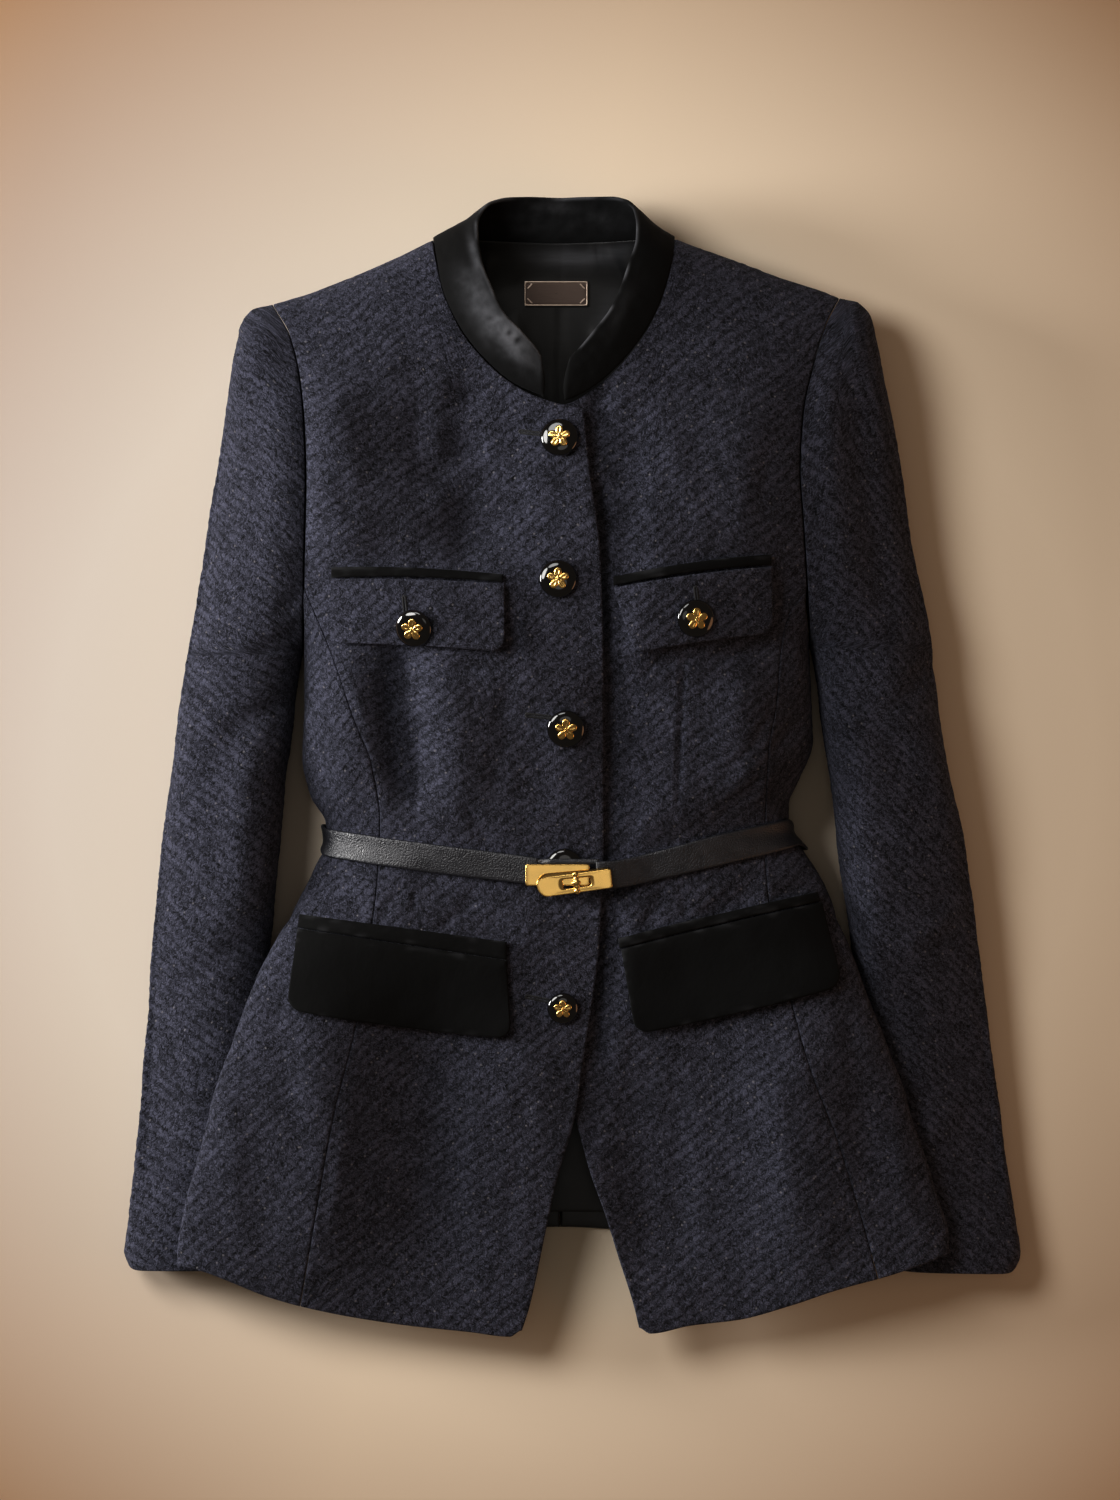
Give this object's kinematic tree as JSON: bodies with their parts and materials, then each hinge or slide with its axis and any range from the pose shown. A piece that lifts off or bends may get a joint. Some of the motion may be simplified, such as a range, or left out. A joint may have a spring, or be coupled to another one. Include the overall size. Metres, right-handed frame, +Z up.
{
  "type": "military jacket",
  "caption": "Fitted belted tweed jacket lying flat on its back, with a velvet stand collar, flap pockets, domed buttons and a turn-lock belt clasp.",
  "frame": {"origin": "centre of the bounding box, on the surface the jacket lies on", "axes": "+X across the jacket to the viewer's right, +Y from the hem to the collar, +Z up from the surface towards the viewer"},
  "size_m": [0.5717, 0.7312, 0.095],
  "materials": {
    "tweed": "chunky diagonal bouclé tweed, very dark navy",
    "velvet": "black velvet pile",
    "satin": "black lining satin",
    "leather": "dark pebbled leather",
    "gloss": "glossy black",
    "gold": "polished pale gold",
    "bronze": "dark bronze"
  },
  "bodies": {
    "jacket": {"back_left": "tweed", "back_lining": "satin", "back_right": "tweed", "belt_strap": "leather", "button_1": "gloss", "button_1_motif": "gold", "button_2": "gloss", "button_2_motif": "gold", "button_3": "gloss", "button_3_motif": "gold", "button_4": "gloss", "button_5": "gloss", "button_5_motif": "gold", "button_chest_left": "gloss", "button_chest_left_motif": "gold", "button_chest_right": "gloss", "button_chest_right_motif": "gold", "chest_flap_left": "tweed", "chest_flap_right": "tweed", "chest_welt_left": "velvet", "chest_welt_right": "velvet", "clasp_base": "gold", "clasp_plate": "gold", "collar": "velvet", "front_left": "tweed", "front_right": "tweed", "hip_flap_left": "velvet", "hip_flap_right": "velvet", "hip_welt_left": "velvet", "hip_welt_right": "velvet", "label": "bronze", "side_left": "tweed", "side_right": "tweed", "top_sleeve_left": "tweed", "top_sleeve_right": "tweed", "under_sleeve_left": "tweed", "under_sleeve_right": "tweed"},
    "toggle": {"clasp_toggle": "gold"}
  },
  "joints": [
    {"name": "toggle_turn", "type": "hinge", "parent": "jacket", "child": "toggle", "pos_m": [0.00237, -0.07422, 0.08], "axis": [0, 0, 1], "range_deg": [0, 90]}
  ]
}
